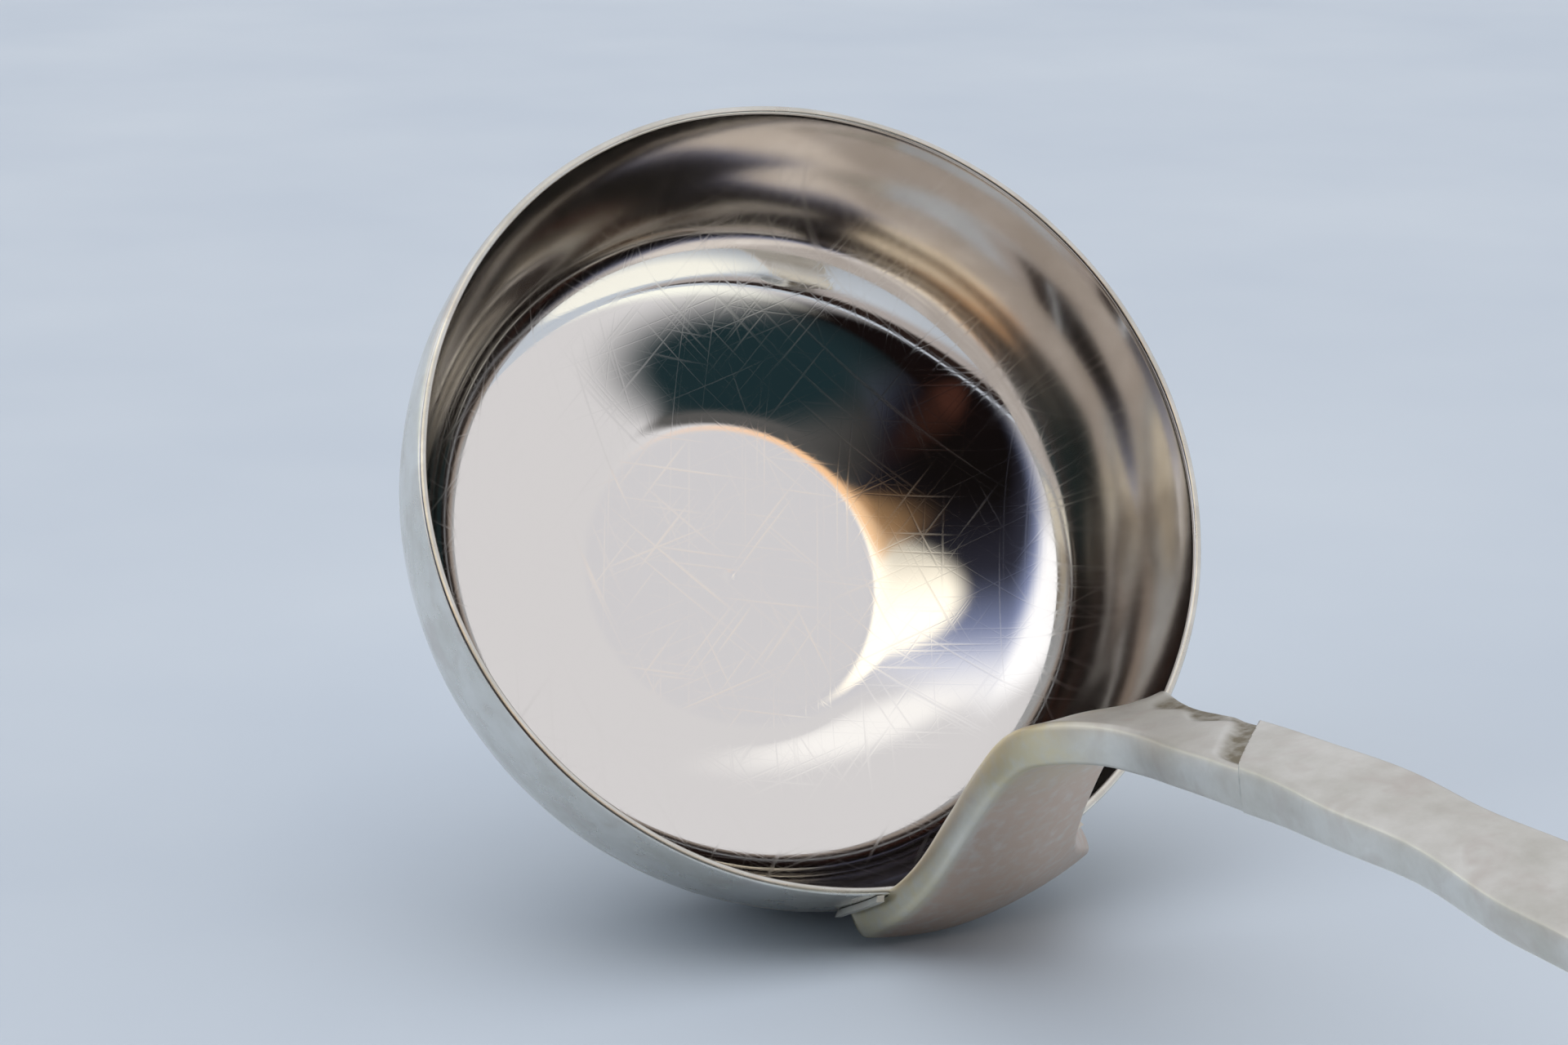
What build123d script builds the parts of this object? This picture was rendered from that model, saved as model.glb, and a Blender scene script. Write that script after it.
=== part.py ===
from build123d import *
from math import acos, asin, cos, degrees, radians, sin
import os

# A small silver sauce ladle, lying on a table as it comes to rest: on the underside of its bowl and on
# the end of its handle. X runs along the handle, Z is up and Z = 0 is the table.

os.makedirs("parts", exist_ok=True)

# ---- driving dimensions (mm, degrees) ----
rim_radius = 30.0
wall = 0.6
lip_round = 0.22

side_radius = 25.5  # upper wall of the bowl, nearly upright at the rim
side_drop = 2.0  # its centre lies this far below the rim
heel_radius = 9.0  # tighter turn from the wall into the dish
side_end = 30.0  # angle below the rim plane where the wall ends
heel_end = 68.0  # angle below the rim plane where the dish begins
base_radius = 11.4  # the bottom is flat inside this radius
base_turn = 10.0  # radius of the soft turn from the dish to the flat bottom

mouth_tilt = 32.6  # the bowl's axis above the table
roll = 9.3  # the ladle leans over to its left side
rim_centre = (-56.4, -0.18, 30.43)

# The strap's cross-sections, from the seat on the bowl to the end of the handle. Each row is the place
# of the upper face (along the handle and up, from the rim's centre), the slope there, the half-widths
# left and right, the thickness, and how far both edges bend towards the bowl.
shoulder_rows = (
    (11.9, -27.8, 34, 8.8, 10.2, 2.5, 1.5),
    (15.8, -25.1, 40, 7.6, 7.6, 2.3, 1.1),
    (18.9, -21.9, 50, 6.7, 6.0, 2.2, 0.75),
    (22.7, -17.0, 52, 5.9, 5.0, 2.3, 0.45),
    (26.6, -12.4, 47, 5.3, 4.6, 2.5, 0.4),
    (30.6, -9.1, 33, 5.2, 4.5, 2.7, 0.45),
    (34.5, -7.3, 16, 4.6, 4.4, 2.9, 0.45),
    (38.2, -6.5, 7, 3.2, 3.3, 3.0, 0.3),
    (42.0, -5.9, 4, 2.5, 2.7, 3.2, 0.1),
    (46.5, -5.4, 6, 2.8, 3.0, 3.2, 0.0),
    (51.5, -4.9, 6, 3.0, 3.1, 3.2, 0.0),
    (57.0, -4.4, 4, 3.0, 3.0, 3.1, 0.0),
    (63.0, -4.2, 2, 3.0, 3.0, 3.0, 0.0),
    (69.0, -4.1, 0, 3.0, 3.0, 2.9, 0.0),
)
stem_rows = (
    (33.0, -6.1, 6, 2.8, 2.8, 3.8, 0.0),
    (39.0, -5.5, 6, 2.8, 2.8, 3.7, 0.0),
    (45.0, -4.9, 5, 2.9, 2.9, 3.6, 0.0),
    (51.5, -4.3, 4, 3.0, 3.0, 3.5, 0.0),
    (57.5, -3.9, 1, 2.9, 2.9, 3.2, 0.0),
    (64.0, -3.8, 0, 3.3, 3.2, 3.0, 0.0),
    (71.5, -3.9, -1, 3.0, 3.0, 2.8, 0.0),
    (80.0, -4.2, -3, 3.8, 3.8, 2.7, 0.0),
    (87.5, -4.7, -6, 3.7, 3.7, 2.6, 0.0),
    (96.0, -6.1, -11, 4.4, 4.4, 2.5, 0.0),
    (105.0, -8.5, -19, 4.9, 4.9, 2.4, 0.0),
    (115.0, -12.9, -26, 5.8, 5.8, 2.3, 0.0),
    (125.0, -18.5, -32, 6.5, 6.5, 2.1, 0.0),
    (133.0, -23.7, -34, 6.1, 6.1, 2.0, 0.0),
    (138.0, -27.2, -35, 4.4, 4.4, 1.8, 0.0),
    (140.53, -28.9, -35, 2.0, 2.0, 1.6, 0.0),
)
solder_gap = 0.05  # film of solder between the fitted faces
bead_height = 0.5  # fillet of solder left around the shoulder's foot
bead_width = 0.6
edge_round = 0.3  # bulge of the strap's rounded edges, as a share of its thickness
face_crown = 0.12
scarf_turn = 45.0  # the joint of stem and shoulder runs across the strap at a slant
scarf_place = 51.5  # along the strap, from the rim's centre

# ---- working planes ----
lateral = Vector(0, cos(radians(roll)), sin(radians(roll)))
side = Plane(origin=rim_centre, x_dir=(1, 0, 0), z_dir=-lateral)  # x along the handle, y up


def leaning(angle):
    """The direction that rises at this angle on the side plane."""
    return side.x_dir * cos(radians(angle)) + side.y_dir * sin(radians(angle))


mouth = Plane(origin=rim_centre, x_dir=leaning(mouth_tilt - 90), z_dir=side.z_dir)  # y is out of the bowl
bowl_axis = Axis(mouth.origin, mouth.y_dir)

# ---- the bowl's outline: four arcs and a flat bottom that run into each other ----
side_centre = (rim_radius - side_radius * cos(asin(side_drop / side_radius)), -side_drop)
heel_centre = (
    side_centre[0] + (side_radius - heel_radius) * cos(radians(side_end)),
    side_centre[1] - (side_radius - heel_radius) * sin(radians(side_end)),
)
dish_radius = heel_radius + heel_centre[0] / cos(radians(heel_end))
dish_centre = (0, heel_centre[1] + (dish_radius - heel_radius) * sin(radians(heel_end)))
dish_end = degrees(acos(base_radius / (dish_radius - base_turn)))
turn_centre = (base_radius, dish_centre[1] - (dish_radius - base_turn) * sin(radians(dish_end)))
base_height = turn_centre[1] - base_turn


def bowl_arcs(inset):
    """The wall, the heel, the dish and the flat bottom, moved inwards by inset."""
    rim_angle = degrees(asin(side_drop / (side_radius - inset)))
    CenterArc(side_centre, side_radius - inset, rim_angle, -rim_angle - side_end)
    CenterArc(heel_centre, heel_radius - inset, -side_end, side_end - heel_end)
    CenterArc(dish_centre, dish_radius - inset, -heel_end, heel_end - dish_end)
    CenterArc(turn_centre, base_turn - inset, -dish_end, dish_end - 90)
    Line((base_radius, base_height + inset), (0, base_height + inset))


def rim_edge(inset):
    return side_centre[0] + ((side_radius - inset) ** 2 - side_drop**2) ** 0.5


with BuildPart() as bowl:
    with BuildSketch(mouth):
        with BuildLine():
            bowl_arcs(0)
            bowl_arcs(wall)
            Line((rim_edge(0), 0), (rim_edge(wall), 0))
            Line((0, base_height), (0, base_height + wall))
        make_face()
    revolve(axis=bowl_axis)
    fillet(bowl.faces().filter_by(GeomType.PLANE).sort_by(bowl_axis)[-1].edges(), radius=lip_round)
bowl.part.label = "bowl"

# The bowl as a full solid, larger by the film of solder: the shoulder is fitted to it.
with BuildPart() as bowl_core:
    with BuildSketch(mouth):
        with BuildLine():
            bowl_arcs(-solder_gap)
            Polyline((rim_edge(-solder_gap), 0), (0, 0), (0, base_height - solder_gap))
        make_face()
    revolve(axis=bowl_axis)


def strap_section(along, height, slope, left, right, thick, hug):
    """One closed outline of four arcs, drawn square to the strap."""
    surface = side.origin + side.x_dir * along + side.y_dir * height
    middle = surface - leaning(slope + 90) * (thick / 2)
    square = Plane(origin=middle, x_dir=lateral, z_dir=leaning(slope))
    half = thick / 2
    bulge = thick * edge_round
    with BuildSketch(square) as outline:
        with BuildLine():
            ThreePointArc((-left, half + hug), (0, half + face_crown), (right, half + hug))
            ThreePointArc((right, half + hug), (right + bulge, hug), (right, hug - half))
            ThreePointArc((right, hug - half), (0, -half - face_crown), (-left, hug - half))
            ThreePointArc((-left, hug - half), (-left - bulge, hug), (-left, half + hug))
        make_face()
    return outline.sketch


# The slanted cut where the stem's root meets the shoulder's tongue.
scarf = Plane(
    origin=side.origin + side.x_dir * scarf_place,
    x_dir=side.y_dir,
    z_dir=side.x_dir * cos(radians(scarf_turn)) + lateral * sin(radians(scarf_turn)),
)

shoulder_outlines = [strap_section(*row) for row in shoulder_rows]
stem_outlines = [strap_section(*row) for row in stem_rows]

with BuildPart() as shoulder:
    loft(sections=shoulder_outlines)
    split(bisect_by=scarf.offset(-solder_gap / 2), keep=Keep.BOTTOM)
    add(bowl_core.part, mode=Mode.SUBTRACT)
shoulder.part.label = "shoulder"

with BuildPart() as stem:
    loft(sections=stem_outlines)
    split(bisect_by=scarf.offset(solder_gap / 2), keep=Keep.TOP)
stem.part.label = "stem"

# The solder left along both sides of the shoulder's foot, on the outside of the bowl: a thin skin over
# the bowl, as wide as the shoulder and its beads, without the shoulder itself.
with BuildPart() as bead_skin:
    with BuildSketch(mouth):
        with BuildLine():
            bowl_arcs(-solder_gap / 2)
            bowl_arcs(-bead_height)
            Line((rim_edge(-solder_gap / 2), 0), (rim_edge(-bead_height), 0))
            Line((0, base_height - solder_gap / 2), (0, base_height - bead_height))
        make_face()
    revolve(axis=bowl_axis)

bead_outlines = [
    strap_section(along, height, slope, left + bead_width, right + bead_width, thick, hug)
    for along, height, slope, left, right, thick, hug in shoulder_rows
]
pieces = [bowl, shoulder, stem]
for hand, half in (("left", Keep.TOP), ("right", Keep.BOTTOM)):
    with BuildPart() as bead:
        add(bead_skin.part)
        loft(sections=bead_outlines, mode=Mode.INTERSECT)
        loft(sections=shoulder_outlines, mode=Mode.SUBTRACT)
        split(bisect_by=side, keep=half)
    bead.part.label = f"solder_bead_{hand}"
    pieces.append(bead)

for piece in pieces:
    export_step(piece.part, f"parts/{piece.part.label}.step")
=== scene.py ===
import bpy
import numpy as np
from math import cos, radians, sin
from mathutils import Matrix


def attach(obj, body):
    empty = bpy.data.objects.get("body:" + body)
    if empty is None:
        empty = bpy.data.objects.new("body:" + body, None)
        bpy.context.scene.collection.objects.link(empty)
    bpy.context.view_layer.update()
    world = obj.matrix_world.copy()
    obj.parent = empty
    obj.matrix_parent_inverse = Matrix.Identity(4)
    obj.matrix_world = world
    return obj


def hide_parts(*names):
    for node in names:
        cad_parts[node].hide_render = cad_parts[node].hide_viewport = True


# A silver sauce ladle lying on a table. Lengths are in millimetres until a mesh is made, and angles in
# degrees. X runs along the handle and Z is up.

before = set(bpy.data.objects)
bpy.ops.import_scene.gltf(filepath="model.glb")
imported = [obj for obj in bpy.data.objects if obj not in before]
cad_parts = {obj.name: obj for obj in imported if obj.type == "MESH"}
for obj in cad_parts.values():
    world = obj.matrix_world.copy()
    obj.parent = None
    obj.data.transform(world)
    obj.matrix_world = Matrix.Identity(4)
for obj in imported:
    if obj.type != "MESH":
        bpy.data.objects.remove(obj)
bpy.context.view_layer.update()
print("frame loaded")

metresPerMm = 0.001

ladle = {
    "rimCentre": (-56.4, -0.18, 30.43),
    "mouthTilt": 32.6,  # the bowl's axis above the table
    "lean": 9.3,  # the whole ladle leans over to its left side
}

lateral = np.array([0, cos(radians(ladle["lean"])), sin(radians(ladle["lean"]))])
upright = np.array([0, -sin(radians(ladle["lean"])), cos(radians(ladle["lean"]))])
forward = np.array([1.0, 0.0, 0.0])
rimCentre = np.array(ladle["rimCentre"])


def leaning(angle):
    # Unit vectors in the ladle's own upright plane, at these angles above the handle's direction.
    angle = np.radians(angle)
    return np.multiply.outer(np.cos(angle), forward) + np.multiply.outer(np.sin(angle), upright)


bowlAxis = leaning(ladle["mouthTilt"])
acrossMouth = leaning(ladle["mouthTilt"] - 90)  # from the bowl's axis towards the handle


def smoothStep(value, low, high):
    t = np.clip((value - low) / (high - low), 0, 1)
    return t * t * (3 - 2 * t)


def roughly(x, y, seed, waves=9):
    # Even, cloudy unevenness between about -1 and 1: a sum of plane waves with seeded directions.
    rng = np.random.default_rng(seed)
    total = np.zeros(np.broadcast(x, y).shape)
    for _ in range(waves):
        turn = rng.uniform(0, 2 * np.pi)
        phase = rng.uniform(0, 2 * np.pi)
        pace = rng.uniform(0.6, 1.6)
        total = total + np.sin(pace * (x * np.cos(turn) + y * np.sin(turn)) + phase)
    return total / np.sqrt(waves * 2)


def addMesh(name, points, faces, values=None, flatFaces=0):
    # points in mm; faces as a list of index arrays, each with one row per face. The last flatFaces
    # faces meet the others at a sharp edge.
    mesh = bpy.data.meshes.new(name)
    loops = np.concatenate([f.ravel() for f in faces])
    sizes = np.concatenate([np.full(len(f), f.shape[1]) for f in faces])
    smooth = np.arange(len(sizes)) < len(sizes) - flatFaces
    mesh.vertices.add(len(points))
    mesh.vertices.foreach_set("co", (points * metresPerMm).astype(np.float32).ravel())
    mesh.loops.add(len(loops))
    mesh.loops.foreach_set("vertex_index", loops.astype(np.int32))
    mesh.polygons.add(len(sizes))
    mesh.polygons.foreach_set("loop_start", (np.cumsum(sizes) - sizes).astype(np.int32))
    mesh.polygons.foreach_set("use_smooth", smooth)
    mesh.update(calc_edges=True)
    for label, numbers in (values or {}).items():
        attribute = mesh.attributes.new(label, "FLOAT", "POINT")
        attribute.data.foreach_set("value", numbers.astype(np.float32))
    mesh.validate()
    piece = bpy.data.objects.new(name, mesh)
    bpy.context.scene.collection.objects.link(piece)
    return piece


def tubeFaces(rows, columns):
    # Quads between neighbouring rings of a closed tube, and a fan on a middle point at each end. The end
    # points are numbered after the grid.
    index = np.arange(rows * columns).reshape(rows, columns)
    near, far = index[:-1], index[1:]
    quads = np.stack([near, np.roll(near, -1, 1), np.roll(far, -1, 1), far], -1).reshape(-1, 4)
    first, last = index[0], index[-1]
    start = np.stack([np.full(columns, rows * columns), np.roll(first, -1), first], -1)
    end = np.stack([np.full(columns, rows * columns + 1), last, np.roll(last, -1)], -1)
    return [quads, start, end]


def linear(hexColour):
    # sRGB hex to linear light.
    parts = [int(hexColour[i:i + 2], 16) / 255 for i in (0, 2, 4)]
    return tuple(c / 12.92 if c <= 0.04045 else ((c + 0.055) / 1.055) ** 2.4 for c in parts) + (1.0,)


def addNode(tree, kind, inputs=None, **settings):
    # A node with its settings; an input is a value or the output that feeds it.
    node = tree.nodes.new("ShaderNode" + kind)
    for name, value in settings.items():
        setattr(node, name, value)
    for name, value in (inputs or {}).items():
        if isinstance(value, bpy.types.NodeSocket):
            tree.links.new(value, node.inputs[name])
        else:
            node.inputs[name].default_value = value
    return node


def setStops(ramp, stops):
    # stops: (place from 0 to 1, linear colour)
    elements = ramp.color_ramp.elements
    while len(elements) > 1:
        elements.remove(elements[-1])
    elements[0].position = stops[0][0]
    elements[0].color = stops[0][1]
    for place, colour in stops[1:]:
        elements.new(place).color = colour


def newMaterial(name):
    material = bpy.data.materials.new(name)
    material.use_nodes = True
    tree = material.node_tree
    return material, tree, tree.nodes["Principled BSDF"]


def perMetre(size):
    # A pattern's scale for features of about this many millimetres.
    return 1 / (size * metresPerMm)


mirrorLook = {
    "colour": "F7F3EE",
    "wallFilm": "D3CCC4",
    "dishRoughness": 0.045,
    "wallRoughness": 0.12,
    "scratchRoughness": 0.13,
    "scratchDepth": 0.02,
    "scratchFrom": 0.66,
    "scratchTo": 0.84,
    "scratchOnWall": 0.2,  # how much of them is left on the wall
    "scratchReach": 60.0,  # mm along the bowl's axis before the lines change
    # each layer: turn in degrees, width of a scratch and its length in mm
    "scratches": (
        (12, 0.20, 16), (40, 0.24, 9), (74, 0.20, 22),
        (101, 0.30, 12), (128, 0.22, 18), (163, 0.26, 10),
    ),
    "scratchBump": 0.00005,  # metres
    "cloudSize": 7.0,  # mm
}


def mirrorSilver():
    # Sterling silver, burnished: a clear mirror in the dish with the fine long scratches of many spoons
    # and cleanings, and a softer, warmer one on the wall, which polish reaches less.
    material, tree, shader = newMaterial("sterling silver, burnished")
    look = mirrorLook
    place = addNode(tree, "TexCoord").outputs["Object"]
    level = addNode(tree, "Attribute", attribute_name="level").outputs["Fac"]
    clouds = addNode(tree, "TexNoise", {
        "Vector": place, "Scale": perMetre(look["cloudSize"]), "Detail": 4.0,
    })
    cloudy = addNode(tree, "MapRange", {
        "Value": clouds.outputs["Fac"], "From Min": 0.35, "From Max": 0.65, "To Min": 0.65, "To Max": 1.15,
    })
    film = addNode(tree, "Math", {
        0: level, 1: cloudy.outputs["Result"],
    }, operation="MULTIPLY", use_clamp=True)
    colour = addNode(tree, "Mix", {
        0: film.outputs["Value"], 6: linear(look["colour"]), 7: linear(look["wallFilm"]),
    }, data_type="RGBA")
    tree.links.new(colour.outputs[2], shader.inputs["Base Color"])
    lines = 0.0
    for turn, width, length in look["scratches"]:
        # long thin cells of stretched noise, of which only the peaks show
        aligned = addNode(tree, "Mapping", {
            "Vector": place, "Location": (turn * metresPerMm, 0, 0),
            "Rotation": (radians(turn), radians(-ladle["mouthTilt"]), 0),
            "Scale": (look["scratchReach"] * metresPerMm, length * metresPerMm, width * metresPerMm),
        }, vector_type="TEXTURE")
        noise = addNode(tree, "TexNoise", {
            "Vector": aligned.outputs["Vector"], "Scale": 1.0, "Detail": 0.0,
        })
        line = addNode(tree, "MapRange", {
            "Value": noise.outputs["Fac"], "From Min": look["scratchFrom"], "From Max": look["scratchTo"],
        })
        strongest = addNode(tree, "Math", {0: lines, 1: line.outputs["Result"]}, operation="MAXIMUM")
        lines = strongest.outputs["Value"]
    kept = addNode(tree, "MapRange", {"Value": level, "To Min": 1.0, "To Max": look["scratchOnWall"]})
    thinned = addNode(tree, "Math", {0: lines, 1: kept.outputs["Result"]}, operation="MULTIPLY")
    lines = thinned.outputs["Value"]
    bump = addNode(tree, "Bump", {
        "Height": lines, "Strength": look["scratchDepth"], "Distance": look["scratchBump"],
    })
    tree.links.new(bump.outputs["Normal"], shader.inputs["Normal"])
    base = addNode(tree, "MapRange", {
        "Value": level, "To Min": look["dishRoughness"], "To Max": look["wallRoughness"],
    })
    rough = addNode(tree, "Math", {
        0: lines, 1: look["scratchRoughness"], 2: base.outputs["Result"],
    }, operation="MULTIPLY_ADD")
    tree.links.new(rough.outputs["Value"], shader.inputs["Roughness"])
    shader.inputs["Metallic"].default_value = 1.0
    return material


satinLook = {
    "bright": "E9E8E2",
    "dull": "D4D2C9",
    "blush": "D0C8C0",
    # painted reflection tone, warm, for the shoulder's outer face
    "warmReflectionTone": "D8C3B2",
    # yellow tarnish, with a painted highlight where the near side is lit
    "tarnishAndHighlight": "E2D8B8",
    # painted shade, olive, for the solder dip and the filed far edge
    "paintedShade": "857C66",
    "roughness": 0.40,
    "smoother": 0.06,
    "rougher": 0.08,
    "filmStrength": 1.8,
    "cloudSize": 5.0,  # mm, as the next three
    "patchSize": 3.2,
    "speckleSize": 0.9,
    "grainSize": 0.5,
    "grainDepth": 0.12,
    "grainBump": 0.00003,  # metres
}


def satinSilver(name, roughness=satinLook["roughness"]):
    # Sterling silver, forged and rubbed with a soft abrasive: grey sheen without a clear reflection,
    # cloudy with handling and yellowed with tarnish. Painted into the colour from attributes: a highlight
    # in the yellow where the near side is lit, a warm reflection tone on the shoulder's outer face, and
    # shade in the solder dip and along the filed far edge.
    material, tree, shader = newMaterial(name)
    look = satinLook
    place = addNode(tree, "TexCoord").outputs["Object"]
    clouds = addNode(tree, "TexNoise", {
        "Vector": place, "Scale": perMetre(look["cloudSize"]), "Detail": 5.0, "Roughness": 0.6,
    })
    cloudRamp = addNode(tree, "ValToRGB", {"Fac": clouds.outputs["Fac"]})
    setStops(cloudRamp, [(0.36, linear(look["bright"])), (0.70, linear(look["dull"]))])
    patches = addNode(tree, "TexNoise", {
        "Vector": place, "Scale": perMetre(look["patchSize"]), "Detail": 3.0, "Distortion": 0.8,
    })
    blush = addNode(tree, "MapRange", {
        "Value": patches.outputs["Fac"], "From Min": 0.50, "From Max": 0.75, "To Max": 0.6,
    })
    colour = addNode(tree, "Mix", {
        0: blush.outputs["Result"], 6: cloudRamp.outputs["Color"], 7: linear(look["blush"]),
    }, data_type="RGBA")
    speckle = addNode(tree, "TexNoise", {
        "Vector": place, "Scale": perMetre(look["speckleSize"]), "Detail": 3.0,
    })
    # Films mixed over the cloudy colour: real tarnish with a painted highlight, a painted warm reflection
    # tone, and painted shade.
    for label in ("warmReflectionTone", "tarnishAndHighlight", "paintedShade"):
        film = addNode(tree, "Attribute", attribute_name=label)
        amount = addNode(tree, "Math", {
            0: film.outputs["Fac"], 1: speckle.outputs["Fac"],
        }, operation="MULTIPLY")
        strong = addNode(tree, "Math", {
            0: amount.outputs["Value"], 1: look["filmStrength"],
        }, operation="MULTIPLY", use_clamp=True)
        colour = addNode(tree, "Mix", {
            0: strong.outputs["Value"], 6: colour.outputs[2], 7: linear(look[label]),
        }, data_type="RGBA")
    tree.links.new(colour.outputs[2], shader.inputs["Base Color"])
    grain = addNode(tree, "TexNoise", {
        "Vector": place, "Scale": perMetre(look["grainSize"]), "Detail": 3.0,
    })
    rough = addNode(tree, "MapRange", {
        "Value": clouds.outputs["Fac"], "From Min": 0.3, "From Max": 0.75,
        "To Min": roughness - look["smoother"], "To Max": roughness + look["rougher"],
    })
    tree.links.new(rough.outputs["Result"], shader.inputs["Roughness"])
    bump = addNode(tree, "Bump", {
        "Height": grain.outputs["Fac"], "Strength": look["grainDepth"], "Distance": look["grainBump"],
    })
    tree.links.new(bump.outputs["Normal"], shader.inputs["Normal"])
    shader.inputs["Metallic"].default_value = 1.0
    return material


bowl = {
    "rimRadius": 30.0,
    "wall": 0.6,
    "sideDrop": 2.0,  # the wall's centre lies this far below the rim
    # arcs from the rim down: the angle below the rim where each ends, and its radius; the one without
    # a radius has its centre on the bowl's axis
    "arcs": ((30.0, 25.5), (68.0, 9.0), (76.65, None), (89.0, 10.0), (90.0, None)),
    "rows": 110,
    "columns": 360,
    "lipDepth": 0.25,
    "lipSteps": 15,
    "lipSquareness": 0.7,
    "unevenness": 0.035,  # mm; the skin is only ever pushed inwards
    "setIn": 0.012,  # mm; every point at least this far
    "facetPace": 0.5,  # waves of the planishing to a millimetre, across and down
    "facetPaceDown": 0.45,
    "facetSeed": 4,
    "facetWaves": 14,
    "calm": 0.15,  # share of the unevenness left in the dish
    "calmBelow": -19.0,  # mm from the rim's plane
    "livelyAbove": -8.0,
    "polishedBelow": -18.0,
    "filmAbove": -11.0,
    "roughness": 0.26,  # of the outside
}


def bowlArcs():
    # Each arc starts where the last one ends and in the same direction, so its centre lies on the line
    # through the last centre and the joint.
    end, radius = bowl["arcs"][0]
    drop = bowl["sideDrop"]
    centre = np.array([bowl["rimRadius"] - (radius**2 - drop**2) ** 0.5, -drop])
    arcs = [(end, radius, centre)]
    for nextEnd, nextRadius in bowl["arcs"][1:]:
        way = np.array([cos(radians(end)), -sin(radians(end))])
        if nextRadius is None:
            nextRadius = radius + centre[0] / way[0]
        centre = centre + (radius - nextRadius) * way
        radius, end = nextRadius, nextEnd
        arcs.append((end, radius, centre))
    return arcs


def bowlProfile(turn, inset):
    # Radius and height of the bowl's outline where its outward normal points this many degrees below
    # the rim, moved inwards by inset.
    arcs = bowlArcs()
    which = np.minimum(np.searchsorted([end for end, _, _ in arcs], turn), len(arcs) - 1)
    radius = np.array([r for _, r, _ in arcs])[which] - inset
    centre = np.array([c for _, _, c in arcs])[which]
    angle = np.radians(turn)
    return centre[..., 0] + radius * np.cos(angle), centre[..., 1] - radius * np.sin(angle)


def turnsOfBowl(inset):
    # Normal directions from the middle of the bottom up to the rim, spaced evenly along the outline.
    lowest = bowl["arcs"][-2][0]
    rim = -np.degrees(np.arcsin(bowl["sideDrop"] / (bowl["arcs"][0][1] - inset)))
    fine = np.concatenate([np.linspace(89.97, lowest, 1500), np.linspace(lowest, rim, 4000)[1:]])
    r, z = bowlProfile(fine, inset)
    length = np.concatenate([[0], np.cumsum(np.hypot(np.diff(r), np.diff(z)))])
    return np.interp(np.linspace(0, length[-1], bowl["rows"]), length, fine)


def buildBowl():
    # A profile turned round the bowl's axis: up the outside, over the lip and down the inside. The lip
    # is half a squared-off ring. The skin is pushed in a little along its normal, in soft facets.
    wall = bowl["wall"]
    lipDepth = bowl["lipDepth"]
    outerTurns, innerTurns = turnsOfBowl(0), turnsOfBowl(wall)
    outerR, outerZ = bowlProfile(outerTurns, 0)
    innerR, innerZ = bowlProfile(innerTurns, wall)
    outer, inner = outerZ < -lipDepth - 0.02, innerZ < -lipDepth - 0.02
    swing = np.linspace(0, np.pi, bowl["lipSteps"])
    squared = np.sign(np.cos(swing)) * np.abs(np.cos(swing)) ** bowl["lipSquareness"]
    lipR = (outerR[-1] + innerR[-1]) / 2 + wall / 2 * squared
    lipZ = -lipDepth + lipDepth * np.sin(swing) ** bowl["lipSquareness"]
    r = np.concatenate([outerR[outer], lipR, innerR[inner][::-1]])
    z = np.concatenate([outerZ[outer], lipZ, innerZ[inner][::-1]])
    turn = np.radians(np.concatenate([outerTurns[outer], 0 * swing, innerTurns[inner][::-1]]))[:, None]
    theta = np.linspace(0, 2 * np.pi, bowl["columns"], endpoint=False)
    radius, swivel = np.meshgrid(r, theta, indexing="ij")
    height = np.repeat(z[:, None], len(theta), 1)
    # planishing: facets of about 8 mm, stronger on the wall than in the dish
    facetsX = radius * np.cos(swivel) * bowl["facetPace"]
    facetsY = radius * np.sin(swivel) * bowl["facetPace"] + height * bowl["facetPaceDown"]
    facets = roughly(facetsX, facetsY, bowl["facetSeed"], bowl["facetWaves"])
    calm = bowl["calm"]
    share = calm + (1 - calm) * smoothStep(height, bowl["calmBelow"], bowl["livelyAbove"])
    push = bowl["unevenness"] * (np.clip(facets, -1.5, 1.5) - 1.5) / 2 * share - bowl["setIn"]
    radius = radius + push * np.cos(turn)
    height = height - push * np.sin(turn)
    outwards = np.cos(swivel)[..., None] * acrossMouth + np.sin(swivel)[..., None] * lateral
    points = (rimCentre + radius[..., None] * outwards + height[..., None] * bowlAxis).reshape(-1, 3)
    ends = [rimCentre + bowlAxis * bowlProfile(np.array([90.0]), inset)[1] for inset in (0, wall)]
    points = np.vstack([points, *ends])
    depth = (points - rimCentre) @ bowlAxis
    count = len(r), len(theta)
    values = {"level": smoothStep(depth, bowl["polishedBelow"], bowl["filmAbove"])}
    piece = addMesh("bowl_raised", points, tubeFaces(*count), values)
    piece.data.materials.append(satinSilver("sterling silver, satin outside", bowl["roughness"]))
    piece.data.materials.append(mirrorSilver())
    inside = np.arange(count[0] - 1) >= outer.sum() + bowl["lipSteps"] * 2 // 3
    slots = np.concatenate([np.repeat(inside, count[1]), np.zeros(count[1]), np.ones(count[1])])
    piece.data.polygons.foreach_set("material_index", slots.astype(np.int32))
    return piece


# Each row: place of the upper face along and up from the rim's centre, slope, half-widths left and
# right, thickness, and how far both edges bend towards the bowl.
shoulderRows = np.array((
    (11.9, -27.8, 34, 8.6, 10.9, 2.5, 1.5),
    (15.8, -25.1, 40, 7.6, 7.6, 2.3, 1.1),
    (18.9, -21.9, 50, 6.7, 5.8, 2.2, 0.75),
    (22.7, -17.0, 52, 5.9, 4.9, 2.3, 0.45),
    (26.6, -12.4, 47, 5.3, 4.6, 2.5, 0.4),
    (30.6, -9.1, 33, 5.2, 4.5, 2.7, 0.45),
    (34.5, -7.3, 16, 4.6, 4.4, 2.9, 0.45),
    (38.2, -6.5, 7, 3.2, 3.3, 3.0, 0.3),
    (42.0, -5.9, 4, 2.5, 2.7, 3.2, 0.1),
    (46.5, -5.2, 6, 2.8, 2.9, 3.2, 0.0),
    (51.5, -4.6, 5, 2.94, 3.0, 3.2, 0.0),
    (57.0, -4.2, 3, 2.9, 2.9, 3.1, 0.0),
))
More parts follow.
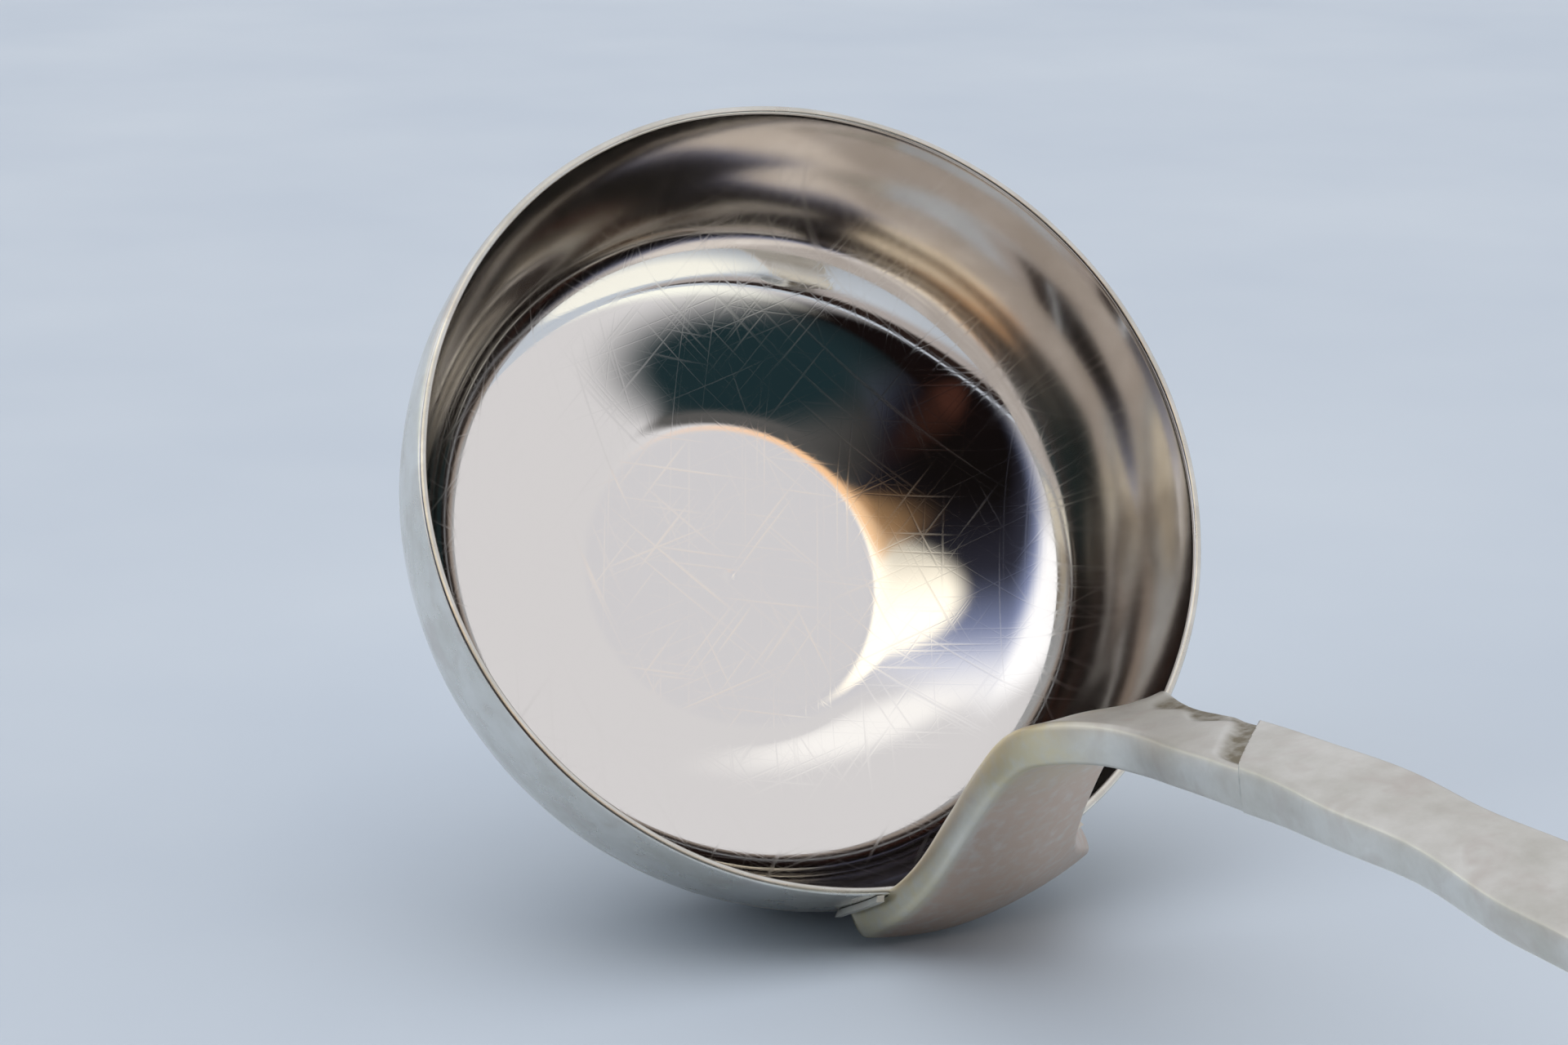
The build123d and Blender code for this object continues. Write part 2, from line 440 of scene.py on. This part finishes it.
stemRows = np.array((
    (45.0, -5.2, 6, 2.9, 2.9, 3.5, 0.0),
    (51.5, -4.5, 5, 3.0, 3.05, 3.4, 0.0),
    (57.5, -4.0, 2, 2.95, 2.95, 3.3, 0.0),
    (64.0, -3.8, 0, 3.3, 3.2, 3.0, 0.0),
    (71.5, -3.9, -1, 3.0, 3.0, 2.8, 0.0),
    (80.0, -4.2, -3, 3.8, 3.8, 2.7, 0.0),
    (87.5, -4.7, -6, 3.7, 3.7, 2.6, 0.0),
    (96.0, -6.1, -11, 4.4, 4.4, 2.5, 0.0),
    (105.0, -8.5, -19, 4.9, 4.9, 2.4, 0.0),
    (115.0, -12.9, -26, 5.8, 5.8, 2.3, 0.0),
    (125.0, -18.5, -32, 6.5, 6.5, 2.1, 0.0),
    (133.0, -23.7, -34, 6.1, 6.1, 2.0, 0.0),
    (138.0, -27.2, -35, 4.4, 4.4, 1.8, 0.0),
    (140.53, -28.9, -35, 2.0, 2.0, 1.6, 0.0),
))

strap = {
    "facePoints": 48,
    "sidePoints": 14,
    "cornerPoints": 8,
    "ringGap": 0.2,  # mm between rings
    "corner": 0.36,
    "crown": 0.12,
    "bulge": 0.08,  # share of the thickness
    "edgeWave": 0.07,  # mm, left by the file
    "faceWave": 0.035,  # mm, left by the hammer
    "scarfPlace": 51.5,
    "scarfReach": 4.5,  # rings are kept this far past the slanted cut
    "seed": 21,
    "gap": 0.03,  # mm between the strap and the bowl
    "jointGap": 0.05,  # mm
}

# The tongue, in mm along the strap from the rim's centre and across it: its far edge is filed down in
# scallops, and solder lies in a dip before the joint.
tongueLook = {
    "starts": (37.5, 39.5),
    "bevel": 0.12,
    "bevelWidth": 1.9,
    "bevelEdge": 0.8,
    # share of the painted shade along the filed edge
    "bevelShade": 0.85,
    "scallopPace": 1.15,  # radians to a millimetre
    "scallopPhase": 0.6,
    "scallopDepth": 0.5,
    "solderDip": 0.32,
    "solderWidth": 3.0,
    "solderFull": 1.35,  # the dip has its full depth from here to the joint
}

# The bend over the rim, in mm along the strap.
bendLook = {
    "sag": 0.9,  # its far side hangs this much lower
    "sagStarts": (26, 31),
    "sagEnds": (34, 37.5),
    "yellowStarts": (24, 29),
    "yellowEnds": (33, 38),
    "footEnds": (16, 24),
    "plainFrom": (36, 42),
    "warmEnds": (30, 38),
}


def throughRows(rows, step):
    # Catmull-Rom: a curve through every row that leaves each one along the line between its
    # neighbours. Taken at even steps of the distance along the strap.
    padded = np.vstack([2 * rows[0] - rows[1], rows, 2 * rows[-1] - rows[-2]])
    gaps = np.hypot(*np.diff(padded[:, :2], axis=0).T)
    knots = np.concatenate([[0], np.cumsum(gaps)])
    total = knots[-2] - knots[1]
    s = knots[1] + np.linspace(0, total, int(total / step) + 1)
    k = np.clip(np.searchsorted(knots, s, "right") - 1, 1, len(rows) - 1)
    h = (knots[k + 1] - knots[k])[:, None]
    t = (s - knots[k])[:, None] / h
    leave = (padded[k + 1] - padded[k - 1]) / (knots[k + 1] - knots[k - 1])[:, None] * h
    arrive = (padded[k + 2] - padded[k]) / (knots[k + 2] - knots[k])[:, None] * h
    return ((2 * t**3 - 3 * t**2 + 1) * padded[k] + (t**3 - 2 * t**2 + t) * leave
            + (-2 * t**3 + 3 * t**2) * padded[k + 1] + (t**3 - t**2) * arrive)


def outlineOfStrap():
    # One turn round a rounded rectangle: for each point its place on the flats (-1 to 1 both ways) and
    # the direction in which the corner's radius is added.
    face = np.linspace(-1, 1, strap["facePoints"])
    side = np.linspace(-1, 1, strap["sidePoints"])[1:-1]
    bend = np.linspace(0, np.pi / 2, strap["cornerPoints"])[1:-1]
    one, oneSide, oneBend = np.ones(len(face)), np.ones(len(side)), np.ones(len(bend))
    parts = [
        (face, one, 0 * one, one),
        (oneBend, oneBend, np.sin(bend), np.cos(bend)),
        (oneSide, -side, oneSide, 0 * side),
        (oneBend, -oneBend, np.cos(bend), -np.sin(bend)),
        (-face, -one, 0 * one, -one),
        (-oneBend, -oneBend, -np.sin(bend), -np.cos(bend)),
        (-oneSide, side, -oneSide, 0 * side),
        (-oneBend, oneBend, -np.cos(bend), np.sin(bend)),
    ]
    return [np.concatenate([p[i] for p in parts]) for i in range(4)]


def strapPoints(rows, seed):
    # The rounded rectangle carried along the rows: across the strap and square to it. Its sides bulge,
    # its faces are a little crowned, both edges bend towards the bowl by the row's last value, and file
    # and hammer have left it slightly uneven.
    flatX, flatY, outX, outY = outlineOfStrap()
    along, left, right, thick, hug = (rows[:, i][:, None] for i in (0, 3, 4, 5, 6))
    half = thick / 2
    wide = np.where(flatX + outX * 0.01 < 0, left, right)
    x = flatX * (wide - strap["corner"]) + outX * strap["corner"]
    y = flatY * (half - strap["corner"]) + outY * strap["corner"]
    shareX, shareY = x / wide, y / half
    x = x + np.sign(x) * strap["bulge"] * thick * shareX**6 * (1 - shareY**2)
    x = x - np.sign(x) * strap["edgeWave"] * shareX**2 * (1 + roughly(along * 0.35, np.sign(x) * 3, seed))
    y = y + strap["crown"] * shareY * (1 - shareX**2) + hug * shareX**2
    y = y - strap["faceWave"] * shareY * (1 + roughly(along * 0.5, x * 0.5, seed + 1))
    return x, y, shareX, shareY


def placeStrap(rows, x, y):
    # From places on the cross-sections to places in the ladle.
    up = leaning(rows[:, 2] + 90)
    surface = rimCentre + rows[:, :1] * forward + rows[:, 1:2] * upright
    middle = surface - up * (rows[:, 5:6] / 2)
    return middle[:, None] + x[..., None] * lateral + y[..., None] * up[:, None]


def outsideBowl(points, gap):
    # Points in the bowl are moved out to its skin, or up to its rim's plane where that is nearer.
    profileR, profileZ = bowlProfile(turnsOfBowl(0), 0)
    offset = points - rimCentre
    z = offset @ bowlAxis
    radial = offset - z[..., None] * bowlAxis
    r = np.linalg.norm(radial, axis=-1)
    skin = np.interp(z, profileZ, profileR) + gap
    inside = (z < gap) & (r < skin)
    over = inside & ((gap - z) < (skin - r))
    newR = np.where(inside & ~over, skin, r)
    newZ = np.where(over, gap, z)
    return rimCentre + radial * (newR / r)[..., None] + newZ[..., None] * bowlAxis


def endAtJoint(points, beyond):
    # Every line along the strap stops where it meets the slanted joint (beyond turns positive there),
    # and its remaining points are put on that spot.
    for column in range(points.shape[1]):
        first = int(np.argmax(beyond[:, column] > 0))
        before, after = beyond[first - 1, column], beyond[first, column]
        share = before / (before - after)
        meeting = points[first - 1, column] * (1 - share) + points[first, column] * share
        points[first:, column] = meeting
    return points


def finishStrap(name, points, films):
    count = points.shape[:2]
    ends = np.stack([points[0].mean(0), points[-1].mean(0)])
    values = {}
    for label, film in films.items():
        values[label] = np.append(np.broadcast_to(film, count).ravel(), (0, 0))
    points = np.vstack([points.reshape(-1, 3), ends])
    return addMesh(name, points, tubeFaces(*count), values, flatFaces=2 * count[1])


def buildShoulder():
    # From the foot on the bowl, over the bend, to a narrow tongue that ends at a slant. The tongue's far
    # edge is filed off in scallops, and solder has run into a shallow dip before the stem's root.
    rows = throughRows(shoulderRows, strap["ringGap"])
    rows = rows[rows[:, 0] < strap["scarfPlace"] + strap["scarfReach"]]
    x, y, shareX, shareY = strapPoints(rows, strap["seed"])
    place, right = rows[:, :1], rows[:, 4:5]
    upper = smoothStep(shareY, 0.3, 0.9)
    tongue = smoothStep(place, *tongueLook["starts"])
    phase = place * tongueLook["scallopPace"] + tongueLook["scallopPhase"]
    scallops = tongueLook["scallopDepth"] * np.sin(phase)
    inBevel = x - right + tongueLook["bevelWidth"] + scallops
    filed = tongue * smoothStep(inBevel, 0.0, tongueLook["bevelEdge"])
    toScarf = strap["scarfPlace"] - x - place
    dip = 1 - smoothStep(toScarf, tongueLook["solderFull"], tongueLook["solderWidth"])
    dip = dip * smoothStep(shareX, -1.0, -0.75)
    sag = smoothStep(place, *bendLook["sagStarts"]) * (1 - smoothStep(place, *bendLook["sagEnds"]))
    sag = sag * smoothStep(shareX, -0.3, 1.0)
    y = y - upper * (tongueLook["bevel"] * filed + tongueLook["solderDip"] * dip * (1 - 0.5 * filed))
    y = y - bendLook["sag"] * sag
    points = placeStrap(rows, x, y)
    beyond = points[..., 0] + x - rimCentre[0] - strap["scarfPlace"] - strap["jointGap"]
    points = outsideBowl(endAtJoint(points, beyond), strap["gap"])
    # Yellow on the near side face, strongest at the foot and round the bend: tarnish, with a painted
    # highlight where the near side at the foot is lit.
    nearSide = 1 - smoothStep(shareX, -0.99, -0.82)
    corner = smoothStep(place, *bendLook["yellowStarts"])
    corner = corner * (1 - smoothStep(place, *bendLook["yellowEnds"]))
    foot = 1 - smoothStep(place, *bendLook["footEnds"])
    beforeTongue = 1 - smoothStep(place, *bendLook["plainFrom"])
    tarnishAndLit = nearSide * (0.3 + 0.3 * corner + 0.5 * foot) * beforeTongue
    return finishStrap("shoulder_forged", points, {
        "tarnishAndHighlight": tarnishAndLit + 0.4 * corner,
        # Painted shade: darker olive along the filed far edge of the upper face and in the solder dip
        # before the joint.
        "paintedShade": upper * np.maximum(tongueLook["bevelShade"] * filed, dip),
        # Painted reflection: a warm tone on the outer face of the shoulder, up to the bend, in place of
        # the floor it reflects.
        "warmReflectionTone": (1 - upper) * (1 - nearSide) * (1 - smoothStep(place, *bendLook["warmEnds"])),
    })


def buildStem():
    # From the slanted joint to the rounded end of the handle.
    rows = throughRows(stemRows, strap["ringGap"])[::-1]
    rows = rows[rows[:, 0] > strap["scarfPlace"] - strap["scarfReach"]]
    x, y, _, _ = strapPoints(rows, strap["seed"])
    points = placeStrap(rows, x, y)
    points = endAtJoint(points, rimCentre[0] + strap["scarfPlace"] - x - points[..., 0])
    return finishStrap("stem_forged", points[::-1], {"tarnishAndHighlight": 0.0, "paintedShade": 0.0, "warmReflectionTone": 0.0})


bowlPiece = buildBowl()
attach(bowlPiece, "root")
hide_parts("bowl")
print("bowl built")

satin = satinSilver("sterling silver, forged and rubbed")
forged = ((buildShoulder(), "shoulder"), (buildStem(), "stem"))
for piece, node in forged:
    piece.data.materials.append(satin)
    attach(piece, "root")
    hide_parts(node)
print("strap built")

solderRoughness = 0.45
solder = satinSilver("silver solder, filed", solderRoughness)
for name in ("solder_bead_left", "solder_bead_right"):
    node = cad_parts[name]
    node.data.materials.clear()
    node.data.materials.append(solder)
print("solder finished")


floorLook = {
    "dark": "C3CEDA",
    "light": "CBD5DF",
    "roughness": 0.85,
    "halfSize": 2000.0,
}


def buildFloor():
    half = floorLook["halfSize"]
    points = np.array([(-half, -half, 0), (half, -half, 0), (half, half, 0), (-half, half, 0)])
    floor = addMesh("floor", points, [np.array([(0, 1, 2, 3)])])
    # Board, painted pale blue-grey and matt: nearly even, a little cloudy.
    material, tree, shader = newMaterial("painted board, matt")
    place = addNode(tree, "TexCoord").outputs["Object"]
    clouds = addNode(tree, "TexNoise", {"Vector": place, "Scale": perMetre(60), "Detail": 3.0})
    ramp = addNode(tree, "ValToRGB", {"Fac": clouds.outputs["Fac"]})
    setStops(ramp, [(0.3, linear(floorLook["dark"])), (0.7, linear(floorLook["light"]))])
    tree.links.new(ramp.outputs["Color"], shader.inputs["Base Color"])
    shader.inputs["Roughness"].default_value = floorLook["roughness"]
    floor.data.materials.append(material)


tent = {
    "cloth": (0.70, 0.70, 0.73, 1.0),
    # Soft-edged ovals on the tent, painted in this order: azimuth, elevation and tilt, half width and
    # half height (degrees), softness of the edge, light, and how far it covers what lies under it.
    "ovals": (
        (-60, 50, 14, 50, 19, 0.25, (1.15, 1.17, 1.22, 1), 1.0),  # lamplight over the doorway
        (14, 68, -4, 18, 2.5, 0.6, (1.1, 1.1, 1.1, 1), 0.8),  # lamplight on the roof
        (-40, 33, 34, 42, 25, 0.22, (0.30, 0.36, 0.60, 1), 1.0),  # doorway, from its edge
        (-40, 30, 34, 39, 21, 0.3, (0.03, 0.032, 0.05, 1), 1.0),
        (1, 50, -12, 14, 9, 0.15, (1.5, 1.42, 1.22, 1), 1.0),  # lamp
        (3, 41, -4, 14, 4.5, 0.3, (1.2, 0.72, 0.36, 1), 0.85),  # its warm lower edge
        (7, 27, -6, 16, 12, 0.14, (0.10, 0.10, 0.10, 1), 1.0),  # dull screen under the lamp
        (-40, 22, 38, 38, 17, 0.4, (0.005, 0.004, 0.004, 1), 1.0),  # depth of the doorway
        (-26, 10, 10, 36, 13, 0.4, (0.006, 0.004, 0.004, 1), 1.0),
        (8, 18, -8, 19, 8, 0.35, (0.012, 0.028, 0.034, 1), 1.0),  # its teal end
        (-34, 16, 42, 18, 3.0, 0.7, (0.08, 0.03, 0.02, 1), 0.6),  # something brown in it
        (32, -7, -22, 30, 7, 0.4, (1.05, 1.08, 1.0, 1), 1.0),  # white wall on the right
    ),
    "flatten": 1000.0,  # an oval is measured square to its own direction only
}


def buildWorld():
    # A pale tent with a dark doorway on one side and a lamp beside it.
    world = bpy.data.worlds.new("pale tent")
    bpy.context.scene.world = world
    world.use_nodes = True
    tree = world.node_tree
    direction = addNode(tree, "TexCoord").outputs["Generated"]
    colour = tent["cloth"]
    for azimuth, elevation, tilt, wide, tall, soft, light, cover in tent["ovals"]:
        turned = addNode(tree, "Mapping", {
            "Vector": direction, "Rotation": (radians(tilt), radians(-elevation), radians(azimuth)),
            "Scale": (tent["flatten"], sin(radians(wide)), sin(radians(tall))),
        }, vector_type="TEXTURE")
        away = addNode(tree, "VectorMath", {0: turned.outputs["Vector"]}, operation="LENGTH")
        share = addNode(tree, "MapRange", {
            "Value": away.outputs["Value"], "From Min": 1 + soft, "From Max": 1 - soft, "To Max": cover,
        }, interpolation_type="SMOOTHSTEP")
        mixed = addNode(tree, "Mix", {0: share.outputs["Result"], 6: colour, 7: light}, data_type="RGBA")
        colour = mixed.outputs[2]
    tree.links.new(colour, tree.nodes["Background"].inputs["Color"])


lamp = {
    "tilt": 17.0,
    "turn": -33.0,
    "spread": 80.0,
    "strength": 0.90,
}


def buildLamp():
    # A wide soft lamp over the table's left side. The silver shows the tent instead of it.
    data = bpy.data.lights.new("lamp", "SUN")
    data.angle = radians(lamp["spread"])
    data.energy = lamp["strength"]
    light = bpy.data.objects.new("lamp", data)
    light.rotation_euler = (radians(lamp["tilt"]), 0, radians(lamp["turn"]))
    light.visible_glossy = False
    bpy.context.scene.collection.objects.link(light)


reflectionSheet = {
    "halfSize": 600.0,
    "height": 0.2,
    "sill": (0.613, -0.79, 0.0),  # direction in which the doorway's dark begins
    "sillFrom": 0.11,
    "sillTo": 0.17,
    "greyFrom": 0.03,  # metres from the middle in that direction
    "greyTo": 0.08,
    # colours the sheet glows with in the silver: a painted reflection, its grey being painted shade on the
    # table in front
    "dark": (0.02, 0.012, 0.01, 1),
    "grey": (0.42, 0.39, 0.385, 1),
    "glowWhite": (0.99, 1.0, 0.93, 1),
    "glowPlace": (0.075, 0.085, 0),
    "glowTurn": 35.0,
    "glowSize": (0.11, 0.055, 1),
    "glowFrom": 1.2,  # its soft edge, in shares of its size
    "glowTo": 0.75,
}


def buildReflectionSheet():
    # A sheet lying on the floor round the ladle that shows only in the silver, as a painted reflection:
    # grey painted shade in front, with the dark sill of the doorway beyond it, and a glowing white patch
    # on the right.
    half, height = reflectionSheet["halfSize"], reflectionSheet["height"]
    corners = [(-half, -half, height), (half, -half, height), (half, half, height), (-half, half, height)]
    points = np.array(corners)
    card = addMesh("reflectionSheet", points, [np.array([(0, 1, 2, 3)])])
    # Glowing grey, black and white, clear elsewhere: a painted reflection of the table in front of the
    # ladle.
    material = bpy.data.materials.new("painted reflection, glowing grey, black and white")
    material.use_nodes = True
    tree = material.node_tree
    tree.nodes.clear()
    place = addNode(tree, "TexCoord").outputs["Object"]
    ahead = addNode(tree, "VectorMath", {0: place, 1: reflectionSheet["sill"]}, operation="DOT_PRODUCT")
    turned = addNode(tree, "Mapping", {
        "Vector": place, "Location": reflectionSheet["glowPlace"], "Rotation": (0, 0, radians(reflectionSheet["glowTurn"])),
        "Scale": reflectionSheet["glowSize"],
    }, vector_type="TEXTURE")
    away = addNode(tree, "VectorMath", {0: turned.outputs["Vector"]}, operation="LENGTH")
    shown = addNode(tree, "BsdfTransparent").outputs[0]
    for value, start, full, light in (
        (ahead, reflectionSheet["greyFrom"], reflectionSheet["greyTo"], reflectionSheet["grey"]),
        (ahead, reflectionSheet["sillFrom"], reflectionSheet["sillTo"], reflectionSheet["dark"]),
        (away, reflectionSheet["glowFrom"], reflectionSheet["glowTo"], reflectionSheet["glowWhite"]),
    ):
        share = addNode(tree, "MapRange", {
            "Value": value.outputs["Value"], "From Min": start, "From Max": full,
        }, interpolation_type="SMOOTHSTEP")
        # Emission: the sheet glows with these colours, though it is no lamp.
        lit = addNode(tree, "Emission", {"Color": light})
        mixed = addNode(tree, "MixShader", {0: share.outputs["Result"], 1: shown, 2: lit.outputs[0]})
        shown = mixed.outputs[0]
    addNode(tree, "OutputMaterial", {"Surface": shown})
    card.data.materials.append(material)
    card.visible_camera = False
    card.visible_diffuse = False
    card.visible_shadow = False
    card.visible_transmission = False


view = {
    "lens": 90.0,
    "sensor": 36.0,
    "nearest": 0.01,
    "farthest": 10.0,
    "place": (0.1809, -0.1355, 0.1009),  # metres
    "tilt": 75.03,
    "turn": 60.9,
}


def buildCamera():
    data = bpy.data.cameras.new("camera")
    data.lens = view["lens"]
    data.sensor_width = view["sensor"]
    data.clip_start = view["nearest"]
    data.clip_end = view["farthest"]
    camera = bpy.data.objects.new("camera", data)
    camera.location = view["place"]
    camera.rotation_euler = (radians(view["tilt"]), 0, radians(view["turn"]))
    bpy.context.scene.collection.objects.link(camera)
    bpy.context.scene.camera = camera


buildFloor()
buildReflectionSheet()
buildWorld()
buildLamp()
buildCamera()
bpy.context.scene.view_settings.view_transform = "Standard"
print("stage built")
